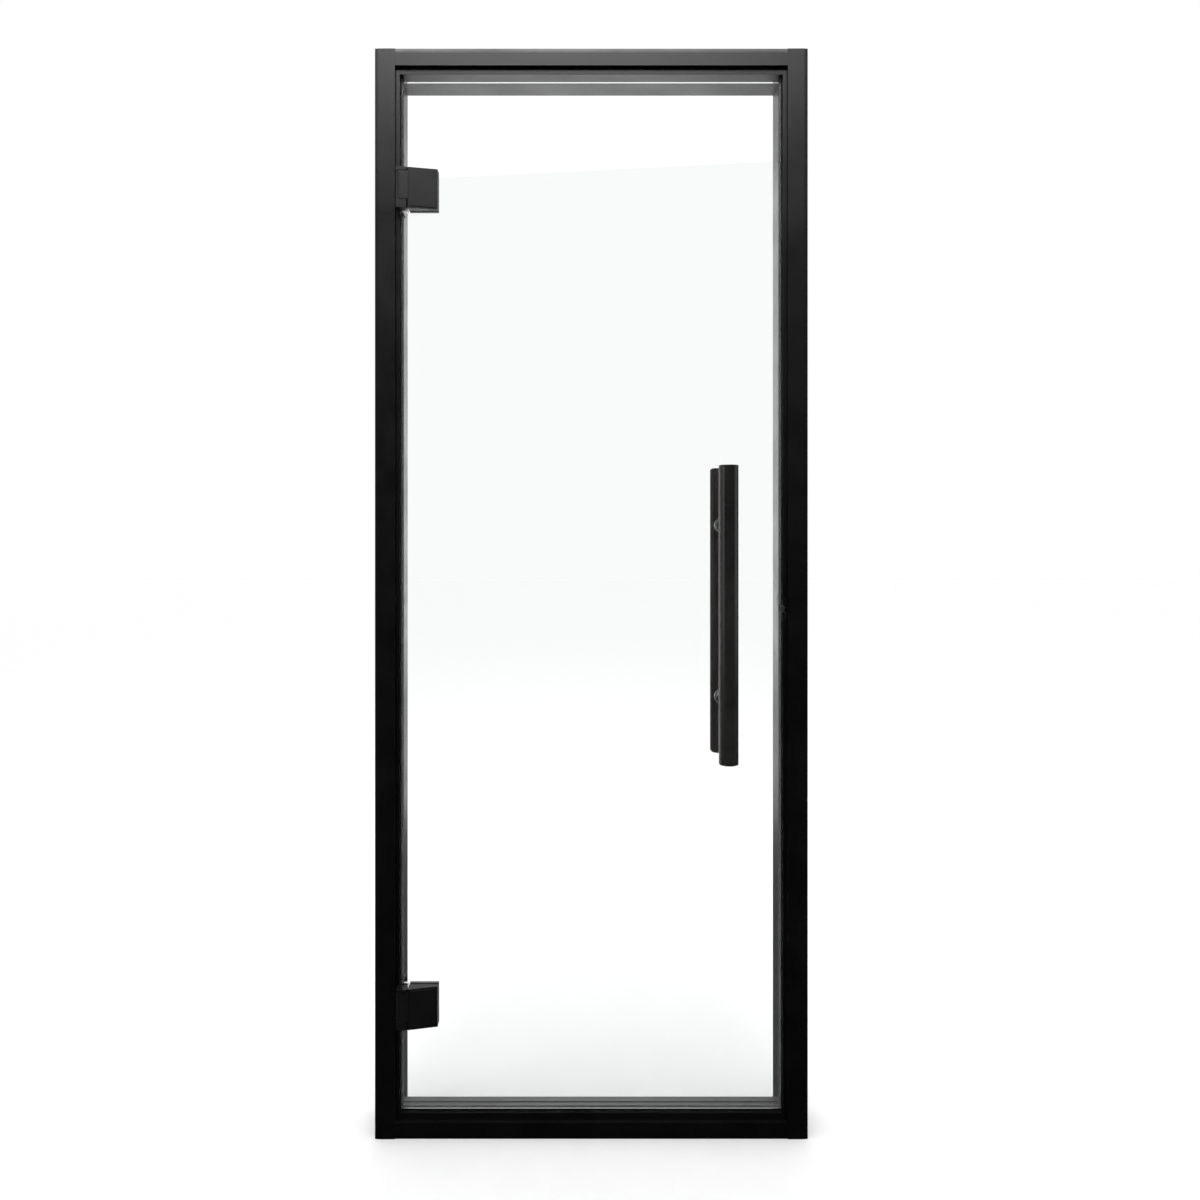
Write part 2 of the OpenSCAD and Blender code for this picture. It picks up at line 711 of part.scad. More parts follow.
module catch_housing() {
    band_y = fy(lip_d);
    inner_half = fork_half + gap;
    color(metal_black) difference() {
        union() {
            block([jamb_in - catch_face_t, band_y - catch_face_t, catch_z - catch_h / 2],
                  [jamb_in, catch_back, catch_z + catch_h / 2]);
            block([jamb_in - catch_face_t, band_y - catch_face_t, catch_z - catch_h / 2],
                  [lip_in - gap, band_y, catch_z + catch_h / 2]);
            block([jamb_in - eps, band_y, catch_z - catch_body_h / 2],
                  [jamb_in + catch_len, catch_back, catch_z + catch_body_h / 2]);
        }
        block([jamb_in - 2 * eps, band_y + catch_face_t, catch_z - inner_half],
              [jamb_in + catch_cavity_end, catch_back - catch_wall, catch_z + inner_half]);
        block([jamb_in - 2 * eps, band_y - 2 * eps, catch_z - inner_half],
              [lip_in + eps, band_y + 2 * eps, catch_z + inner_half]);
        for (dz = [-1, 1] * catch_screw_dz)
            rod_x(catch_screw_r + fit, jamb_in - 2 * eps, jamb_in + eps, spring_y, catch_z + dz);
    }
}

module catch_screws()
    color(steel) for (dz = [-1, 1] * catch_screw_dz) {
        head_x = jamb_in - catch_face_t;
        rod_x(catch_screw_r, head_x - fit, jamb_in + catch_screw_len, spring_y, catch_z + dz);
        rod_x(catch_screw_head_r, head_x - catch_screw_head_h, head_x, spring_y, catch_z + dz);
    }

module catch_fork() {
    slide_y0 = fy(lip_d) + catch_face_t + gap;
    slide_y1 = catch_back - catch_wall - gap;
    color(steel) difference() {
        union() {
            block([jamb_in + fork_x0, slide_y0, catch_z - fork_half],
                  [jamb_in + fork_x1, slide_y1, catch_z + fork_half]);
            for (z = [catch_z - fork_half, catch_z + fork_half - fork_ear]) {
                translate([jamb_in, roller_y, z]) cylinder(r = 2 * axle_r, h = fork_ear);
                block([jamb_in - axle_r, slide_y0, z],
                      [jamb_in + fork_x0 + eps, slide_y0 + 2 * axle_r, z + fork_ear]);
            }
        }
        translate([jamb_in, roller_y, catch_z - catch_h / 2]) cylinder(r = axle_r + fit / 2, h = catch_h);
    }
}

module catch_axle()
    color(steel) translate([jamb_in, roller_y, catch_z - fork_half])
        cylinder(r = axle_r, h = 2 * fork_half);

module catch_roller()
    color(nylon) translate([jamb_in, roller_y, catch_z - roller_h / 2]) difference() {
        rotate_extrude() polygon([[0, 0], [roller_r - roller_bevel, 0], [roller_r, roller_bevel],
            [roller_r, roller_h - roller_bevel], [roller_r - roller_bevel, roller_h],
            [0, roller_h]]);
        translate([0, 0, -eps]) cylinder(r = axle_r + fit, h = roller_h + 2 * eps);
    }

// A wire coiled along X between the fork and the housing's end
module catch_spring() {
    sides = 6;
    per_turn = 14;
    rings = spring_turns * per_turn;
    x0 = jamb_in + fork_x1 + gap;
    length = catch_cavity_end - fork_x1 - 2 * gap;
    function ring(i) = [for (k = [0 : sides - 1])
        let (turn = 360 * i / per_turn, a = 360 * k / sides, r = spring_r + spring_wire * cos(a))
        [x0 + spring_wire + (length - 2 * spring_wire) * i / rings + spring_wire * sin(a),
         spring_y + r * cos(turn), catch_z + r * sin(turn)]];
    points = [for (i = [0 : rings]) each ring(i)];
    walls = [for (i = [0 : rings - 1], k = [0 : sides - 1])
        let (a = i * sides + k, b = i * sides + (k + 1) % sides) [a, b, b + sides, a + sides]];
    first = [for (k = [0 : sides - 1]) sides - 1 - k];
    last = [for (k = [0 : sides - 1]) rings * sides + k];
    color(steel) polyhedron(points, concat([first], walls, [last]));
}

// ---- Every node, one at a time or all together ----

jamb_hinge_side();
jamb_latch_side();
head_rail();
sill();
corner_screws();
fixing_caps();
stop_seal_hinge_side();
stop_seal_latch_side();
stop_seal_sill();
glass_pane();
hinge_bracket(upper_hinge_z);  // upper_hinge_bracket
hinge_pin(upper_hinge_z);  // upper_hinge_pin
hinge_bushes(upper_hinge_z);  // upper_hinge_bushes
front_clamp(upper_hinge_z);  // upper_hinge_front_clamp
back_clamp(upper_hinge_z);  // upper_hinge_back_clamp
hinge_gaskets(upper_hinge_z);  // upper_hinge_gaskets
clamp_screws(upper_hinge_z);  // upper_hinge_clamp_screws
bracket_screws(upper_hinge_z);  // upper_hinge_bracket_screws
hinge_bracket(lower_hinge_z);  // lower_hinge_bracket
hinge_pin(lower_hinge_z);  // lower_hinge_pin
hinge_bushes(lower_hinge_z);  // lower_hinge_bushes
front_clamp(lower_hinge_z);  // lower_hinge_front_clamp
back_clamp(lower_hinge_z);  // lower_hinge_back_clamp
hinge_gaskets(lower_hinge_z);  // lower_hinge_gaskets
clamp_screws(lower_hinge_z);  // lower_hinge_clamp_screws
bracket_screws(lower_hinge_z);  // lower_hinge_bracket_screws
outer_handle_tube();
outer_handle_end_caps();
outer_post(post_zs[1]);  // outer_handle_upper_post
outer_post(post_zs[0]);  // outer_handle_lower_post
outer_handle_nuts();
inner_handle_grip();
inner_post(post_zs[1]);  // inner_handle_upper_post
inner_post(post_zs[0]);  // inner_handle_lower_post
inner_handle_collars();
inner_handle_inserts();
handle_studs();
handle_washers();
handle_sleeves();
catch_housing();
catch_screws();
catch_spring();
catch_fork();
catch_axle();
catch_roller();
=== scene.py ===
# %% [markdown]
# # A framed glass door
# The door is a clear pane on two clamp hinges in a black powder-coated metal frame. The
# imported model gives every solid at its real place, so this script adds only what the eye
# needs: rounded edges, a round-wire spring, finishes, light and a camera. No CAD piece is
# moved or resized.

# %% Load the frame
import json
import math

import bpy
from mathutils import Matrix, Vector

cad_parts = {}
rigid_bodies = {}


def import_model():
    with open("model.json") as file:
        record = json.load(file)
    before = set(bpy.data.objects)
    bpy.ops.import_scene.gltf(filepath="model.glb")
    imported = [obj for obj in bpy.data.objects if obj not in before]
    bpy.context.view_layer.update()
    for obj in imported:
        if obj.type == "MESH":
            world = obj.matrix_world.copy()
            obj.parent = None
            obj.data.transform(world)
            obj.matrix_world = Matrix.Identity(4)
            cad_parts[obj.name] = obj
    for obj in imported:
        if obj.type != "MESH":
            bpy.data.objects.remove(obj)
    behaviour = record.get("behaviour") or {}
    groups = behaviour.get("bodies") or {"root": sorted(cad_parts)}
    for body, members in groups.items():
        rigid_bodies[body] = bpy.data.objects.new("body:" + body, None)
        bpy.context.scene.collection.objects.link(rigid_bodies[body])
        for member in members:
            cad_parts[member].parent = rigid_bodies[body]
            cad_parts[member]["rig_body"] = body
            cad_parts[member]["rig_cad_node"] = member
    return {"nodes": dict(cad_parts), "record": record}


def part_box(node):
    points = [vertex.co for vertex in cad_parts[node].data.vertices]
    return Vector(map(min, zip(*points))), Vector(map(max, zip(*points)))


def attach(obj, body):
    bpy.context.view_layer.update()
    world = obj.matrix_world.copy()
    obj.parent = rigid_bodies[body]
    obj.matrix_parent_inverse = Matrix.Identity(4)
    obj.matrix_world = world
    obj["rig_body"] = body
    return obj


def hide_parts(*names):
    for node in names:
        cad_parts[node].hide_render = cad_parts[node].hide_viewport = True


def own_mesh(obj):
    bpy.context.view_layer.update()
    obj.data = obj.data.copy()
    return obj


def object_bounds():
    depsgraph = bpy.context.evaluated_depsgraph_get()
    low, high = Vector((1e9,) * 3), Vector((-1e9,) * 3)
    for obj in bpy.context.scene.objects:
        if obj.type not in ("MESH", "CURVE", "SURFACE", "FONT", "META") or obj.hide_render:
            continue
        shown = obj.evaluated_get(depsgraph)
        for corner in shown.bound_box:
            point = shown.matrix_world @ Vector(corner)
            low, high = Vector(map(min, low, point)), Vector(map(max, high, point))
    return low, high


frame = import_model()
nodes = frame["nodes"]
CAD_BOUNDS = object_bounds()
MM = 0.001
FLOOR_Z = CAD_BOUNDS[0][2]
JAMB_LOW, JAMB_HIGH = (Vector(corner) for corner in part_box("jamb_hinge_side"))
FRAME_H = JAMB_HIGH.z
FRONT_Y = JAMB_LOW.y
print("frame height", round(FRAME_H, 4), "front at", round(FRONT_Y, 4))

# %% [markdown]
# ## Camera
# A level camera keeps a door's uprights parallel. Tilting it would make them lean together,
# so the lens is shifted down a little instead, as an architect's lens is. The camera stands
# slightly to the hinge side, which shows more of the latch jamb's inside.

# %% Camera
LENS_MM = 29.6
SENSOR_MM = 36.0
STAND_OFF = 1.80
SHIFT_X = 0.025
SHIFT_Y = -0.06
CAMERA_X = -0.039
CAMERA_RISE = 0.120
NEAR, FAR = 0.05, 60.0

camera_data = bpy.data.cameras.new("door_camera")
camera_data.lens = LENS_MM
camera_data.sensor_width = SENSOR_MM
camera_data.shift_x = SHIFT_X
camera_data.shift_y = SHIFT_Y
camera_data.clip_start = NEAR
camera_data.clip_end = FAR
camera = bpy.data.objects.new("door_camera", camera_data)
camera.location = (CAMERA_X, FRONT_Y - STAND_OFF, FRAME_H / 2 + CAMERA_RISE)
camera.rotation_euler = (math.radians(90), 0, 0)
bpy.context.scene.collection.objects.link(camera)
bpy.context.scene.camera = camera
print("camera at", [round(value, 3) for value in camera.location])


# %% [markdown]
# ## Selecting and placing
# An operator acts on all that is selected, so everything is deselected before each one.
# A finished piece must also stand for the CAD node that it covers: it takes the node's
# body, so that it moves with it, and its slot, so that its finish is known by name.

# %% Select, apply and settle
def deselect():
    if bpy.context.object and bpy.context.object.mode != "OBJECT":
        bpy.ops.object.mode_set(mode="OBJECT")
    bpy.ops.object.select_all(action="DESELECT")


def make_active(piece):
    deselect()
    piece.select_set(True)
    bpy.context.view_layer.objects.active = piece


def apply_all(piece):
    """Applies every modifier of the piece, in order."""
    make_active(piece)
    for modifier in list(piece.modifiers):
        bpy.ops.object.modifier_apply(modifier=modifier.name)


def settle(piece, node, material):
    """Puts the piece in the node's place: its origin, body, slot and finish."""
    make_active(piece)
    bpy.ops.object.transform_apply(location=True, rotation=True, scale=True)
    piece.data.materials.clear()
    piece.data.materials.append(material)
    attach(piece, nodes[node]["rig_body"])
    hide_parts(node)


# %% [markdown]
# ## Copying a piece
# The CAD meshes are exact but knife-edged, and a knife edge never catches the light. The
# pieces could be modelled again, but their shape is already right. So each one is copied,
# and the copy's loose triangles are merged into whole faces that can be rounded.

# %% Copy and merge
MERGE_GAP = 0.01 * MM
FLAT_ANGLE = math.radians(0.5)


def free_copy(node):
    """A copy of a CAD node with its own mesh, tied to no body yet."""
    piece = nodes[node].copy()
    piece.data = nodes[node].data.copy()
    piece.parent = None
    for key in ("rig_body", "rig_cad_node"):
        if key in piece:
            del piece[key]
    piece.name = node + "_finished"
    bpy.context.scene.collection.objects.link(piece)
    return piece


def merge_triangles(piece):
    make_active(piece)
    bpy.ops.object.mode_set(mode="EDIT")
    bpy.ops.mesh.select_all(action="SELECT")
    bpy.ops.mesh.remove_doubles(threshold=MERGE_GAP)
    bpy.ops.mesh.dissolve_limited(angle_limit=FLAT_ANGLE)
    bpy.ops.object.mode_set(mode="OBJECT")


# %% [markdown]
# ## Rounding an edge
# A Bevel modifier rounds the edges by the fraction of a millimetre that a real tool leaves.
# Weighted normals then keep the large faces flat: without them a long face seems to fade
# from light to dark.

# %% Rounded copies
EDGE_ANGLE = math.radians(35)
SMOOTH_ANGLE = math.radians(30)
LARGE_FACE_WEIGHT = 100


def even_shading(piece):
    """Smooths the bevels, and keeps the large faces between them truly flat."""
    make_active(piece)
    bpy.ops.object.shade_smooth_by_angle(angle=SMOOTH_ANGLE)
    weighted = piece.modifiers.new("flat faces", "WEIGHTED_NORMAL")
    weighted.keep_sharp = True
    weighted.weight = LARGE_FACE_WEIGHT
    apply_all(piece)


def rounded_copy(node, material, radius, segments):
    """Stands a copy with rounded edges, of radius metres, in a CAD node's place."""
    piece = free_copy(node)
    merge_triangles(piece)
    bevel = piece.modifiers.new("rounded edges", "BEVEL")
    bevel.width = radius
    bevel.segments = segments
    bevel.limit_method = "ANGLE"
    bevel.angle_limit = EDGE_ANGLE
    bevel.use_clamp_overlap = True
    apply_all(piece)
    even_shading(piece)
    settle(piece, node, material)


# %% [markdown]
# ## Effects that several finishes share
# Powder coat, wood, rubber and steel all vary a little over their surface. Each effect
# could be drawn again in every material, but a node group holds it once. A group puts out
# only masks and heights. The shader stays in the material, where its plain values can be
# read.

# %% Making a group
def link(tree, source, target):
    tree.links.new(source, target)


def new_group(name, inputs, outputs):
    group = bpy.data.node_groups.new(name, "ShaderNodeTree")
    for label, kind, value in inputs:
        socket = group.interface.new_socket(label, in_out="INPUT", socket_type=kind)
        socket.default_value = value
    for label, kind in outputs:
        group.interface.new_socket(label, in_out="OUTPUT", socket_type=kind)
    group_in = group.nodes.new("NodeGroupInput")
    group_out = group.nodes.new("NodeGroupOutput")
    return group, group_in, group_out


# %% [markdown]
# A noise runs from 0 to 1 in name, but nearly all its values lie near the middle. Used as
# it is, it gives a tame, grey mask. So the middle is stretched to the wanted range.

# %% Noise and its range
MASK_LOW, MASK_HIGH = 0.3, 0.7


def noise(tree, vector, scale, detail, roughness=0.5):
    node = tree.nodes.new("ShaderNodeTexNoise")
    node.inputs["Scale"].default_value = scale
    node.inputs["Detail"].default_value = detail
    node.inputs["Roughness"].default_value = roughness
    link(tree, vector, node.inputs["Vector"])
    return node.outputs["Fac"]


def spread(tree, value, low, high):
    """Maps the middle of a noise to low..high."""
    node = tree.nodes.new("ShaderNodeMapRange")
    node.inputs["From Min"].default_value = MASK_LOW
    node.inputs["From Max"].default_value = MASK_HIGH
    node.inputs["To Min"].default_value = low
    node.inputs["To Max"].default_value = high
    link(tree, value, node.inputs["Value"])
    return node.outputs["Result"]


# %% [markdown]
# Powder coat melts and flows before it sets, which leaves a fine orange-peel relief and a
# slow cloudiness. Both are noises of the surface's place, one fine and one broad.

# %% Orange peel
def orange_peel_group():
    group, start, end = new_group(
        "orange_peel",
        [("Vector", "NodeSocketVector", (0, 0, 0)), ("Grain", "NodeSocketFloat", 900.0)],
        [("Height", "NodeSocketFloat"), ("Cloud", "NodeSocketFloat")],
    )
    place = start.outputs["Vector"]
    scaled = group.nodes.new("ShaderNodeVectorMath")
    scaled.operation = "SCALE"
    link(group, place, scaled.inputs[0])
    link(group, start.outputs["Grain"], scaled.inputs["Scale"])
    fine = noise(group, scaled.outputs["Vector"], scale=1.0, detail=2.0)
    broad = noise(group, place, scale=14.0, detail=4.0, roughness=0.6)
    link(group, fine, end.inputs["Height"])
    link(group, broad, end.inputs["Cloud"])
    return group


ORANGE_PEEL = orange_peel_group()
print("group", ORANGE_PEEL.name, "with", len(ORANGE_PEEL.nodes), "nodes")


# %% [markdown]
# Wood grain and brushed metal are both long streaks. A noise makes them when its place is
# stretched: many steps across for each one along Z.

# %% Streaks
def streak_group():
    group, start, end = new_group(
        "streaks",
        [
            ("Vector", "NodeSocketVector", (0, 0, 0)),
            ("Across", "NodeSocketFloat", 400.0),
            ("Along", "NodeSocketFloat", 12.0),
        ],
        [("Fine", "NodeSocketFloat"), ("Broad", "NodeSocketFloat")],
    )
    stretch = group.nodes.new("ShaderNodeCombineXYZ")
    for axis, label in (("X", "Across"), ("Y", "Across"), ("Z", "Along")):
        link(group, start.outputs[label], stretch.inputs[axis])
    scaled = group.nodes.new("ShaderNodeVectorMath")
    scaled.operation = "MULTIPLY"
    link(group, start.outputs["Vector"], scaled.inputs[0])
    link(group, stretch.outputs["Vector"], scaled.inputs[1])
    fine = noise(group, scaled.outputs["Vector"], scale=1.0, detail=5.0, roughness=0.6)
    broad = noise(group, scaled.outputs["Vector"], scale=0.22, detail=3.0)
    link(group, fine, end.inputs["Fine"])
    link(group, broad, end.inputs["Broad"])
    return group


STREAKS = streak_group()
print("group", STREAKS.name, "with", len(STREAKS.nodes), "nodes")


# %% [markdown]
# ## Finishes
# Every finish is one Principled shader. What varies over the surface comes from a group
# and feeds colour, roughness or bump. What doesn't vary is a plain value on the shader,
# because that is what other programs can read from it.

# %% Helpers for finishes
def new_finish(name):
    finish = bpy.data.materials.new(name)
    finish.use_nodes = True
    tree = finish.node_tree
    shader = tree.nodes["Principled BSDF"]
    place = tree.nodes.new("ShaderNodeTexCoord").outputs["Object"]
    return finish, tree, shader, place


def place_group(tree, group, place, **values):
    node = tree.nodes.new("ShaderNodeGroup")
    node.node_tree = group
    link(tree, place, node.inputs["Vector"])
    for label, value in values.items():
        node.inputs[label].default_value = value
    return node.outputs


def two_tone(tree, shader, mask, dark, light):
    """Colours the surface between two linear tones, by a mask."""
    ramp = tree.nodes.new("ShaderNodeValToRGB")
    first, last = ramp.color_ramp.elements
    first.position = MASK_LOW
    last.position = MASK_HIGH
    first.color = (*dark, 1)
    last.color = (*light, 1)
    link(tree, mask, ramp.inputs["Fac"])
    link(tree, ramp.outputs["Color"], shader.inputs["Base Color"])


def bump(tree, shader, height, distance, strength):
    node = tree.nodes.new("ShaderNodeBump")
    node.inputs["Distance"].default_value = distance
    node.inputs["Strength"].default_value = strength
    link(tree, height, node.inputs["Height"])
    link(tree, node.outputs["Normal"], shader.inputs["Normal"])


# %% [markdown]
# The frame, the hinges and the outer bar are all powder-coated black, but not alike. The
# frame is satin and deepest, the hinges are a little paler and finer, and the bar, which
# is held, is palest and smoothest. One function makes all three.

# %% Powder coat
PEEL_DEPTH = 0.03 * MM
SMOOTHER, ROUGHER = 0.04, 0.05


def powder_coat(name, dark, light, rough, specular, grain):
    finish, tree, shader, place = new_finish(name)
    out = place_group(tree, ORANGE_PEEL, place, Grain=grain)
    two_tone(tree, shader, out["Cloud"], dark, light)
    gloss = spread(tree, out["Cloud"], rough - SMOOTHER, rough + ROUGHER)
    link(tree, gloss, shader.inputs["Roughness"])
    bump(tree, shader, out["Height"], distance=PEEL_DEPTH, strength=0.5)
    shader.inputs["Specular IOR Level"].default_value = specular
    return finish


FRAME_BLACK = powder_coat(
    "frame_powder_coat",
    dark=(0.0011, 0.0011, 0.0015),
    light=(0.0021, 0.0021, 0.0027),
    rough=0.37,
    specular=0.42,
    grain=900.0,
)
HINGE_BLACK = powder_coat(
    "hinge_powder_coat",
    dark=(0.0020, 0.0020, 0.0023),
    light=(0.0040, 0.0040, 0.0045),
    rough=0.40,
    specular=0.50,
    grain=1400.0,
)
HANDLE_BLACK = powder_coat(
    "handle_powder_coat",
    dark=(0.0070, 0.0070, 0.0068),
    light=(0.0140, 0.0135, 0.0130),
    rough=0.22,
    specular=0.28,
    grain=1600.0,
)
print("powder coats", FRAME_BLACK.name, HINGE_BLACK.name, HANDLE_BLACK.name)


# %% [markdown]
# Clear float glass is nearly colourless through its face, and green at its edge, where
# light travels a long way in it. Absorption through the volume would show that, but on a
# pane this thin a very faint green tint on the surface is enough. A trace of roughness
# stands for the smears of cleaning.

# %% Glass
GLASS_IOR = 1.5
GLASS_TINT = (0.985, 0.997, 0.992, 1)
SMEAR_ROUGHNESS = 0.004


def clear_glass():
    finish, tree, shader, place = new_finish("clear_glass")
    smears = noise(tree, place, scale=6.0, detail=4.0, roughness=0.6)
    link(tree, spread(tree, smears, 0.0, SMEAR_ROUGHNESS), shader.inputs["Roughness"])
    shader.inputs["Base Color"].default_value = GLASS_TINT
    shader.inputs["Transmission Weight"].default_value = 1.0
    shader.inputs["Metallic"].default_value = 0.0
    shader.inputs["IOR"].default_value = GLASS_IOR
    return finish


PANE_GLASS = clear_glass()
print("glass with an index of", GLASS_IOR)


# %% [markdown]
# The inner bar is wood, stained almost black and oiled. The stain settles in the grain, so
# the broad streaks carry the colour and the fine ones the relief. The oil soaks in and
# leaves little gloss.

# %% Wood
STAIN_DARK = (0.013, 0.0115, 0.0115)
STAIN_LIGHT = (0.038, 0.033, 0.032)
PORE_DEPTH = 0.12 * MM


def stained_wood():
    finish, tree, shader, place = new_finish("dark_stained_wood")
    out = place_group(tree, STREAKS, place, Across=900.0, Along=26.0)
    two_tone(tree, shader, out["Broad"], STAIN_DARK, STAIN_LIGHT)
    link(tree, spread(tree, out["Fine"], 0.50, 0.68), shader.inputs["Roughness"])
    bump(tree, shader, out["Fine"], distance=PORE_DEPTH, strength=0.6)
    shader.inputs["Specular IOR Level"].default_value = 0.12
    return finish


GRIP_WOOD = stained_wood()
print("wood", GRIP_WOOD.name)


# %% [markdown]
# Rubber seals and nylon bushes are black right through, and are moulded, so their surface
# is dull and slightly grained. The orange-peel group gives that grain too, at a finer step.

# %% Rubber and nylon
MOULD_DEPTH = 0.02 * MM
MOULD_UNEVEN = 0.06
DARKER, LIGHTER = 0.7, 1.4


def soft_black(name, tone, rough, grain):
    finish, tree, shader, place = new_finish(name)
    out = place_group(tree, ORANGE_PEEL, place, Grain=grain)
    two_tone(tree, shader, out["Cloud"], (tone * DARKER,) * 3, (tone * LIGHTER,) * 3)
    dullness = spread(tree, out["Height"], rough - MOULD_UNEVEN, rough + MOULD_UNEVEN)
    link(tree, dullness, shader.inputs["Roughness"])
    bump(tree, shader, out["Height"], distance=MOULD_DEPTH, strength=0.3)
    return finish


SEAL_RUBBER = soft_black("seal_rubber", tone=0.035, rough=0.36, grain=2200.0)
NYLON = soft_black("black_nylon", tone=0.016, rough=0.48, grain=3000.0)
print("moulded finishes", SEAL_RUBBER.name, NYLON.name)


# %% [markdown]
# The inner bar's posts, the studs, the spring and most screws are brushed steel. The
# catch's fork, axle and screws are blackened. Both are metals with fine streaks, so only
# their tones differ.

# %% Steel
BRUSH_DEPTH = 0.01 * MM


def brushed_steel(name, dark, light):
    finish, tree, shader, place = new_finish(name)
    out = place_group(tree, STREAKS, place, Across=2600.0, Along=90.0)
    two_tone(tree, shader, out["Fine"], dark, light)
    link(tree, spread(tree, out["Fine"], 0.18, 0.34), shader.inputs["Roughness"])
    bump(tree, shader, out["Fine"], distance=BRUSH_DEPTH, strength=0.4)
    shader.inputs["Metallic"].default_value = 1.0
    return finish


STEEL = brushed_steel("brushed_steel", dark=(0.46, 0.46, 0.455), light=(0.66, 0.66, 0.65))
DARK_STEEL = brushed_steel("blackened_steel", dark=(0.12, 0.12, 0.124), light=(0.24, 0.24, 0.245))
print("metals", STEEL.name, DARK_STEEL.name)

# %% [markdown]
# ## Finishes for the carried-over nodes
# Pieces whose CAD shape is right keep it, and only get a finish. The record names the
# slot of each node, so one table turns slots into finishes.

# %% Finishes by slot
FINISH = {
    "frame_black": FRAME_BLACK,
    "hinge_black": HINGE_BLACK,
    "handle_black": HANDLE_BLACK,
    "pane": PANE_GLASS,
    "grip_wood": GRIP_WOOD,
    "seal": SEAL_RUBBER,
    "steel": STEEL,
    "dark_steel": DARK_STEEL,
    "plastic": NYLON,
}
SLOT = {part["node"]: part["material_slot"] for part in frame["record"]["subparts"]}
for name, part in nodes.items():
    part.data.materials.clear()
    part.data.materials.append(FINISH[SLOT[name]])
print("finished", len(nodes), "nodes")

# %% [markdown]
# ## Rounded pieces
# Each radius, in millimetres, is what the real process leaves. A drawn profile and a cast
# clamp are softened by their coat, and a wooden bar by sanding. The pane's edge is ground
# to a narrow flat, which is a bevel of one segment.

# %% Frame, pane, seals, bars and catch
ROUNDED = {
    "jamb_hinge_side": 0.5,
    "jamb_latch_side": 0.5,
    "head_rail": 0.5,
    "sill": 0.45,
    "glass_pane": 0.8,
    "stop_seal_hinge_side": 0.3,
    "stop_seal_latch_side": 0.3,
    "stop_seal_sill": 0.3,
    "outer_handle_tube": 0.3,
    "outer_handle_end_caps": 0.4,
    "outer_handle_upper_post": 0.3,
    "outer_handle_lower_post": 0.3,
    "inner_handle_upper_post": 0.3,
    "inner_handle_lower_post": 0.3,
    "inner_handle_grip": 1.2,
    "inner_handle_collars": 0.4,
    "fixing_caps": 0.4,
    "catch_housing": 0.25,
    "catch_fork": 0.2,
    "catch_roller": 0.3,
}
HINGE_ROUNDED = {"bracket": 0.6, "front_clamp": 0.6, "back_clamp": 0.6, "pin": 0.3}
for hinge in ("upper_hinge_", "lower_hinge_"):
    for part, radius in HINGE_ROUNDED.items():
        ROUNDED[hinge + part] = radius
FLAT_BEVEL, ROUND_BEVEL = 1, 2
for name, radius in ROUNDED.items():
    segments = FLAT_BEVEL if name == "glass_pane" else ROUND_BEVEL
    slot = SLOT[name]
    rounded_copy(name, FINISH[slot], radius * MM, segments)
print("rounded", len(ROUNDED), "pieces")

# %% [markdown]
# ## The catch's spring
# A spring is one round wire wound on a helix. A curve with a round bevel could draw it, but
# a wound circle is nearer to how a spring is made. First comes the circle: the wire's
# section, set beside the coil's axis.

# %% Wire
SPRING_R = 2.2 * MM
WIRE_R = 0.35 * MM
WIRE_SIDES = 10
SPRING_LOW, SPRING_HIGH = (Vector(corner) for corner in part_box("catch_spring"))
SPRING_LENGTH = SPRING_HIGH.x - SPRING_LOW.x
SPRING_MIDDLE = (SPRING_LOW + SPRING_HIGH) / 2
print("spring length", round(SPRING_LENGTH / MM, 2), "mm")


def wire_circle():
    """The wire's section, beside the coil's axis, with its origin on that axis."""
    start = (SPRING_LOW.x + WIRE_R, SPRING_MIDDLE.y, SPRING_MIDDLE.z)
    deselect()
    bpy.ops.mesh.primitive_circle_add(vertices=WIRE_SIDES, radius=WIRE_R,
                                      rotation=(math.radians(90), 0, 0), location=start)
    bpy.ops.object.transform_apply(location=False, rotation=True, scale=True)
    bpy.ops.object.mode_set(mode="EDIT")
    bpy.ops.transform.translate(value=(0, 0, SPRING_R))
    bpy.ops.object.mode_set(mode="OBJECT")
    return bpy.context.object


# %% [markdown]
# A Screw modifier winds the circle round the axis and along it, and its two ends are
# closed. As the fork goes in, the coil shortens towards the housing's end.

# %% Winding
SPRING_TURNS = 5
STEPS_A_TURN = 16
WIRE_SMOOTH_ANGLE = math.radians(50)


def coil_spring():
    piece = wire_circle()
    piece.name = "catch_spring_coil"
    wind = piece.modifiers.new("winding", "SCREW")
    wind.axis = "X"
    wind.iterations = SPRING_TURNS
    wind.steps = STEPS_A_TURN
    wind.render_steps = STEPS_A_TURN
    wind.screw_offset = (SPRING_LENGTH - 2 * WIRE_R) / SPRING_TURNS
    apply_all(piece)
    bpy.ops.object.mode_set(mode="EDIT")
    bpy.ops.mesh.select_all(action="SELECT")
    bpy.ops.mesh.fill_holes(sides=0)
    bpy.ops.mesh.normals_make_consistent(inside=False)
    bpy.ops.object.mode_set(mode="OBJECT")
    bpy.ops.object.shade_smooth_by_angle(angle=WIRE_SMOOTH_ANGLE)
    settle(piece, "catch_spring", STEEL)
    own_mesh(piece)
    return piece


SPRING = coil_spring()
print("spring of", SPRING_TURNS, "turns and", len(SPRING.data.polygons), "faces")

# %% [markdown]
# ## Floor
# The door stands on a plain pale floor. Its tone is worked out so that the floor, lit by
# the sky and the sun together, is as bright as the sky behind it. The soft lights only push
# it past white, so the horizon hardly shows.

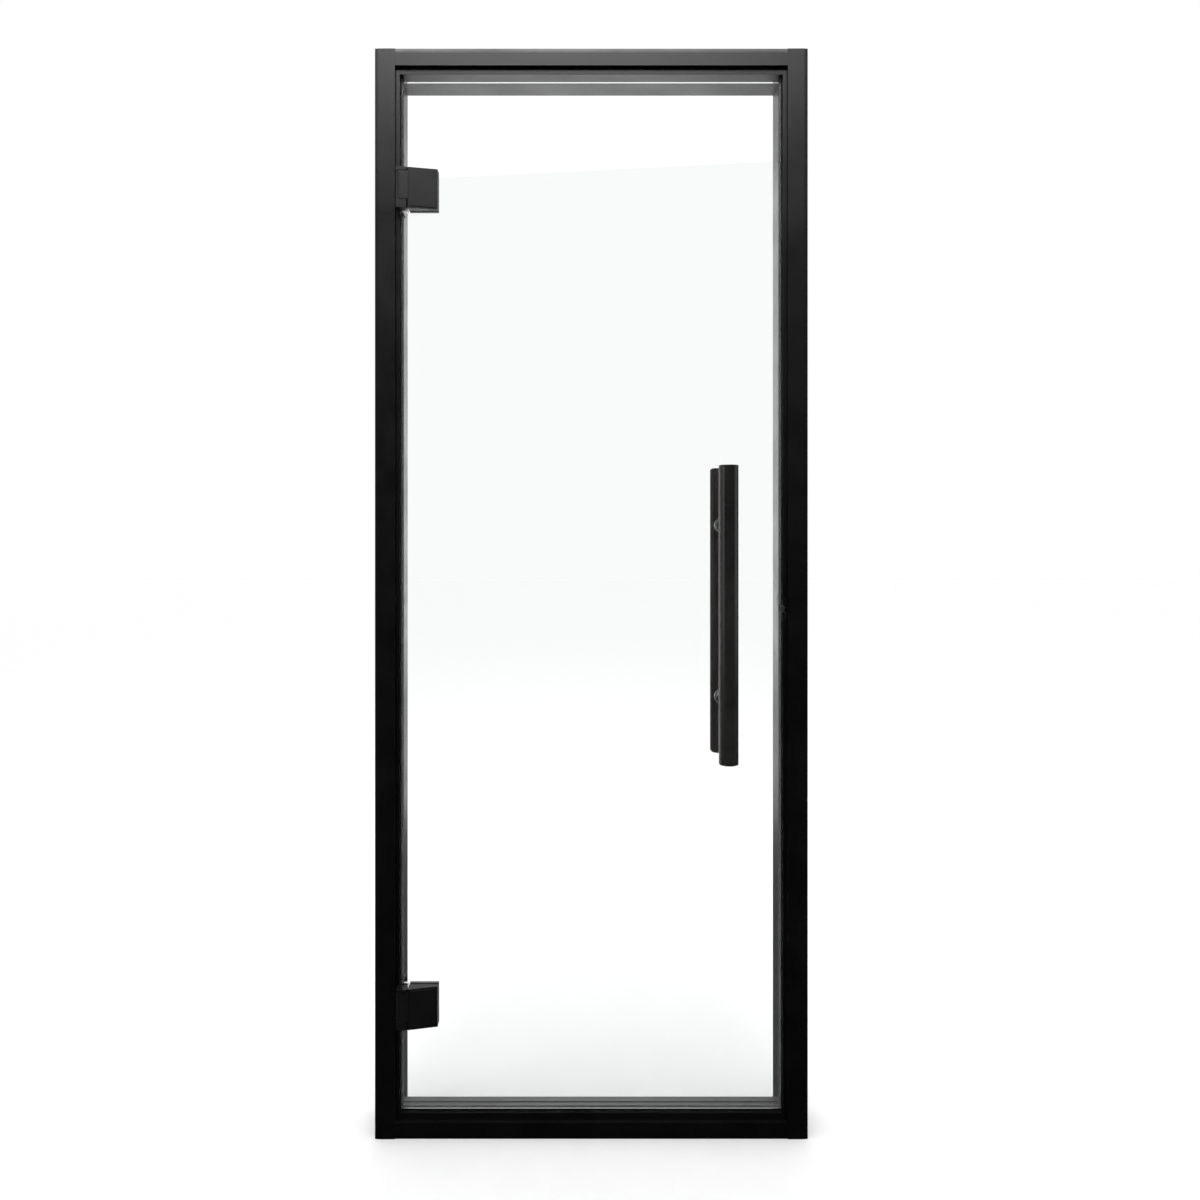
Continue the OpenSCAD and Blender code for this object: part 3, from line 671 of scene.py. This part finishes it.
# %% Floor
WORLD_LIGHT = 1.0
SUN_POWER = 0.25
FLOOR_TONE = WORLD_LIGHT / (WORLD_LIGHT + SUN_POWER / math.pi)
FLOOR_SIZE = 40.0
FLOOR_DROP = 0.4 * MM
FLOOR_CELLS = 8


def floor():
    deselect()
    bpy.ops.mesh.primitive_grid_add(x_subdivisions=FLOOR_CELLS, y_subdivisions=FLOOR_CELLS,
                                    size=FLOOR_SIZE,
                                    location=(0, 0, FLOOR_Z - FLOOR_DROP))
    ground = bpy.context.object
    ground.name = "studio_floor"
    finish, tree, shader, place = new_finish("studio_floor")
    out = place_group(tree, ORANGE_PEEL, place, Grain=60.0)
    two_tone(tree, shader, out["Cloud"], (FLOOR_TONE - 0.01,) * 3, (FLOOR_TONE + 0.01,) * 3)
    shader.inputs["Roughness"].default_value = 0.8
    shader.inputs["Specular IOR Level"].default_value = 0.1
    ground.data.materials.append(finish)


floor()
print("floor tone", round(FLOOR_TONE, 3))


# %% [markdown]
# ## Black flags
# A black frame shows its surroundings, and in a white studio it would look grey. So a wide
# black flag hangs behind the camera and a low one lies round the door's foot. Only
# mirror-like rays see them: the frame's front turns deep black, while its insides still
# catch the bright backdrop.

# %% Flags
FLAG_LIFT = 0.2 * MM
FLAG_CELLS = 4


def flag_cloth():
    finish, tree, shader, place = new_finish("flag_cloth")
    weave = noise(tree, place, scale=3.0, detail=3.0)
    two_tone(tree, shader, weave, (0.001,) * 3, (0.002,) * 3)
    shader.inputs["Roughness"].default_value = 0.9
    shader.inputs["Specular IOR Level"].default_value = 0.0
    return finish


FLAG_CLOTH = flag_cloth()


def black_flag(name, size, place, tilt):
    """A black panel of size metres that shows in reflections only."""
    deselect()
    bpy.ops.mesh.primitive_grid_add(x_subdivisions=FLAG_CELLS, y_subdivisions=FLAG_CELLS,
                                    size=1.0, location=place,
                                    rotation=(math.radians(tilt), 0, 0))
    flag = bpy.context.object
    flag.name = name
    flag.scale = (*size, 1.0)
    bpy.ops.object.transform_apply(location=True, rotation=True, scale=True)
    flag.data.materials.append(FLAG_CLOTH)
    flag.visible_camera = False
    flag.visible_diffuse = False
    flag.visible_transmission = False
    flag.visible_shadow = False


black_flag("front_flag", size=(22.0, 12.0), place=(0, -5.0, 3.0), tilt=90)
black_flag("foot_flag", size=(14.0, 7.0), place=(0, -1.5, FLOOR_Z - FLAG_LIFT), tilt=0)


# %% [markdown]
# ## Lights
# Two soft lights high in front put a sheen on the frame's top that fades down the jambs.
# A narrow strip on the left draws a thin line of light on the bars. A panel behind the
# door is mirrored in the jambs' insides. It is hidden from the camera and from rays through
# the pane, so that it doesn't show itself. Two weak lights fill in, one on the right and
# one high behind.

# %% Soft lights
def soft_light(name, place, target, size, power, fan=180):
    data = bpy.data.lights.new(name, "AREA")
    data.shape = "RECTANGLE"
    data.size, data.size_y = size
    data.energy = power
    data.spread = math.radians(fan)
    lamp = bpy.data.objects.new(name, data)
    lamp.location = place
    lamp.rotation_euler = (Vector(target) - Vector(place)).to_track_quat("-Z", "Y").to_euler()
    bpy.context.scene.collection.objects.link(lamp)
    return lamp


soft_light("above_front", (0.1, -1.0, 2.80), (0, 0.0, 1.95), (1.5, 0.5), 1.5, fan=80)
soft_light("high_front", (-0.2, -2.4, 3.9), (0, 0, 1.9), (2.4, 1.0), 12, fan=60)
soft_light("left_strip", (-2.6, -1.25, 1.35), (0.2, 0, 1.15), (0.16, 1.9), 8)
soft_light("right_side", (3.4, -0.7, 2.3), (0, 0, 1.5), (0.8, 1.6), 1.0)
soft_light("behind", (0.3, 2.2, 3.4), (0, 0, 1.6), (3.0, 1.6), 2)
back_panel = soft_light("back_panel", (0, 2.4, 1.6), (0, 0, 1.6), (1.2, 2.2), 10)
back_panel.visible_camera = False
back_panel.visible_transmission = False
print("soft lights", [lamp.name for lamp in bpy.data.lights])

# %% [markdown]
# A white sky lights the door evenly from all round. A weak, wide sun almost overhead
# brightens what faces up. The Standard view keeps white as white.

# %% Sun and sky
SUN_WIDTH = math.radians(60)
SUN_LEAN = math.radians(-6)

sun_data = bpy.data.lights.new("even_floor", "SUN")
sun_data.energy = SUN_POWER
sun_data.angle = SUN_WIDTH
sun = bpy.data.objects.new("even_floor", sun_data)
sun.rotation_euler = (SUN_LEAN, 0, 0)
bpy.context.scene.collection.objects.link(sun)

world = bpy.data.worlds.new("studio")
bpy.context.scene.world = world
world.use_nodes = True
background = world.node_tree.nodes["Background"]
background.inputs["Color"].default_value = (1, 1, 1, 1)
background.inputs["Strength"].default_value = WORLD_LIGHT
bpy.context.scene.view_settings.view_transform = "Standard"
print("sun", SUN_POWER, "and sky", WORLD_LIGHT)
